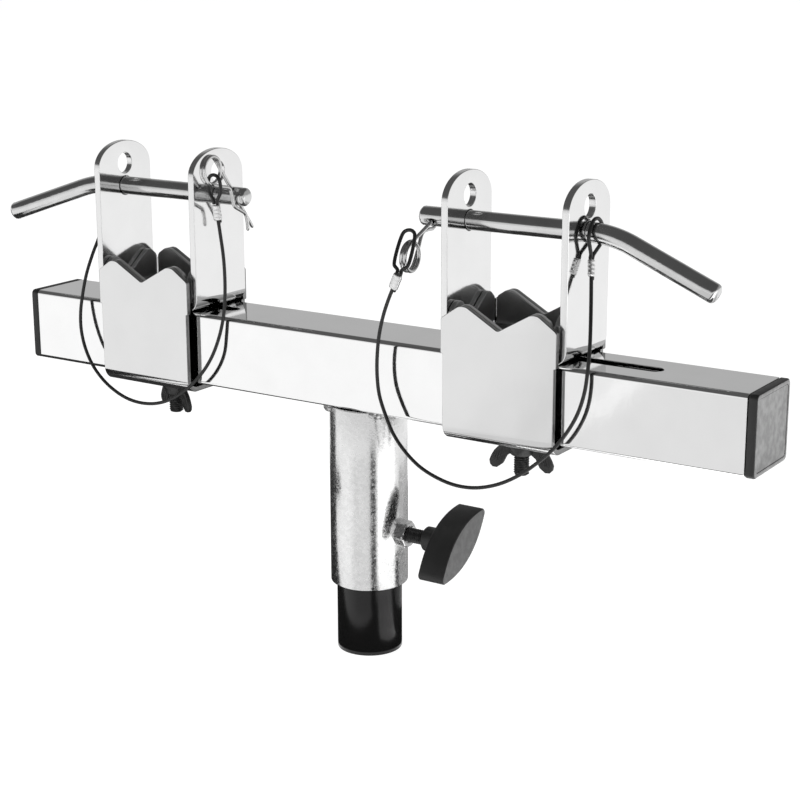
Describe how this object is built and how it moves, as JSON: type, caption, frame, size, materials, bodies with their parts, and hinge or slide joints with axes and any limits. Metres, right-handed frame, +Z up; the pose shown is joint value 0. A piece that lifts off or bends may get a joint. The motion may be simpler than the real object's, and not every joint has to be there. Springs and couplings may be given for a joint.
{
  "type": "truss adapter crossbar",
  "caption": "Square tube crossbar on a clamping pole socket, with sliding notched cradles, locking pins, spring clips and rope tethers that hold a truss on a stand.",
  "frame": {"origin": "on the pole's axis at its lower end", "axes": "+X along the square tube, +Z up along the pole, -Y towards the tethers' side"},
  "size_m": [0.4676, 0.0601, 0.2655],
  "materials": {
    "chrome": "bright chrome plated steel",
    "dark_chrome": "chrome plated folded sheet",
    "zinc": "galvanised, spangled",
    "weld": "plated weld bead",
    "steel": "polished plated steel",
    "ferrule": "crimped, satin",
    "rope": "black coated wire rope",
    "black_steel": "black oxide",
    "black_plastic": "moulded, satin",
    "pole_paint": "black powder coat"
  },
  "bodies": {
    "stand": {"stand_tube": "pole_paint"},
    "adapter": {"socket_tube": "zinc", "weld_bead_left": "weld", "weld_bead_right": "weld", "clamp_nut": "zinc", "crossbar": "chrome", "cap_left": "black_plastic", "cap_right": "black_plastic"},
    "knob": {"clamp_knob": "black_plastic", "clamp_screw": "black_steel"},
    "cradle_left": {"saddle_left": "chrome", "crown_left": "dark_chrome", "yoke_left": "chrome", "clamp_bolt_left": "black_steel", "washer_left": "black_steel"},
    "wing_nut_left": {"wing_nut_left": "black_steel"},
    "pin_left": {"locking_pin_left": "steel", "tether_ferrule_pin_left": "ferrule", "tether_eye_pin_left": "rope", "tether_rope_left": "rope"},
    "clip_left": {"spring_clip_left": "steel", "tether_ferrule_clip_left": "ferrule", "tether_eye_clip_left": "rope"},
    "cradle_right": {"saddle_right": "chrome", "crown_right": "dark_chrome", "yoke_right": "chrome", "clamp_bolt_right": "black_steel", "washer_right": "black_steel"},
    "wing_nut_right": {"wing_nut_right": "black_steel"},
    "pin_right": {"locking_pin_right": "steel", "tether_ferrule_pin_right": "ferrule", "tether_eye_pin_right": "rope", "tether_rope_right": "rope"},
    "clip_right": {"spring_clip_right": "steel", "tether_ferrule_clip_right": "ferrule", "tether_eye_clip_right": "rope"}
  },
  "joints": [
    {"name": "adapter_swivel", "type": "hinge", "parent": "stand", "child": "adapter", "pos_m": [0, 0, 0.1], "axis": [0, 0, 1], "continuous": true},
    {"name": "knob_turn", "type": "hinge", "parent": "adapter", "child": "knob", "pos_m": [0.04, 0, 0.068], "axis": [1, 0, 0], "continuous": true},
    {"name": "left_cradle_slide", "type": "slide", "parent": "adapter", "child": "cradle_left", "axis": [1, 0, 0], "range_m": [-0.028, 0.042]},
    {"name": "right_cradle_slide", "type": "slide", "parent": "adapter", "child": "cradle_right", "axis": [1, 0, 0], "range_m": [0, 0.071]},
    {"name": "left_wing_nut_turn", "type": "hinge", "parent": "cradle_left", "child": "wing_nut_left", "pos_m": [-0.1327, 0, 0.127], "axis": [0, 0, 1], "continuous": true},
    {"name": "right_wing_nut_turn", "type": "hinge", "parent": "cradle_right", "child": "wing_nut_right", "pos_m": [0.0933, 0, 0.127], "axis": [0, 0, 1], "continuous": true},
    {"name": "left_pin_turn", "type": "hinge", "parent": "cradle_left", "child": "pin_left", "pos_m": [-0.13, 0, 0.2403], "axis": [1, 0, 0], "range_deg": [-90, 0]},
    {"name": "right_pin_turn", "type": "hinge", "parent": "cradle_right", "child": "pin_right", "pos_m": [0.09, 0, 0.2403], "axis": [1, 0, 0], "range_deg": [-90, 0]},
    {"name": "left_clip_pull", "type": "slide", "parent": "pin_left", "child": "clip_left", "axis": [0, -0.609, 0.7932], "range_m": [0, 0.032], "deforming": ["spring_clip_left"]},
    {"name": "right_clip_pull", "type": "slide", "parent": "pin_right", "child": "clip_right", "axis": [0, -0.9211, -0.3894], "range_m": [0, 0.032], "deforming": ["spring_clip_right"]}
  ]
}
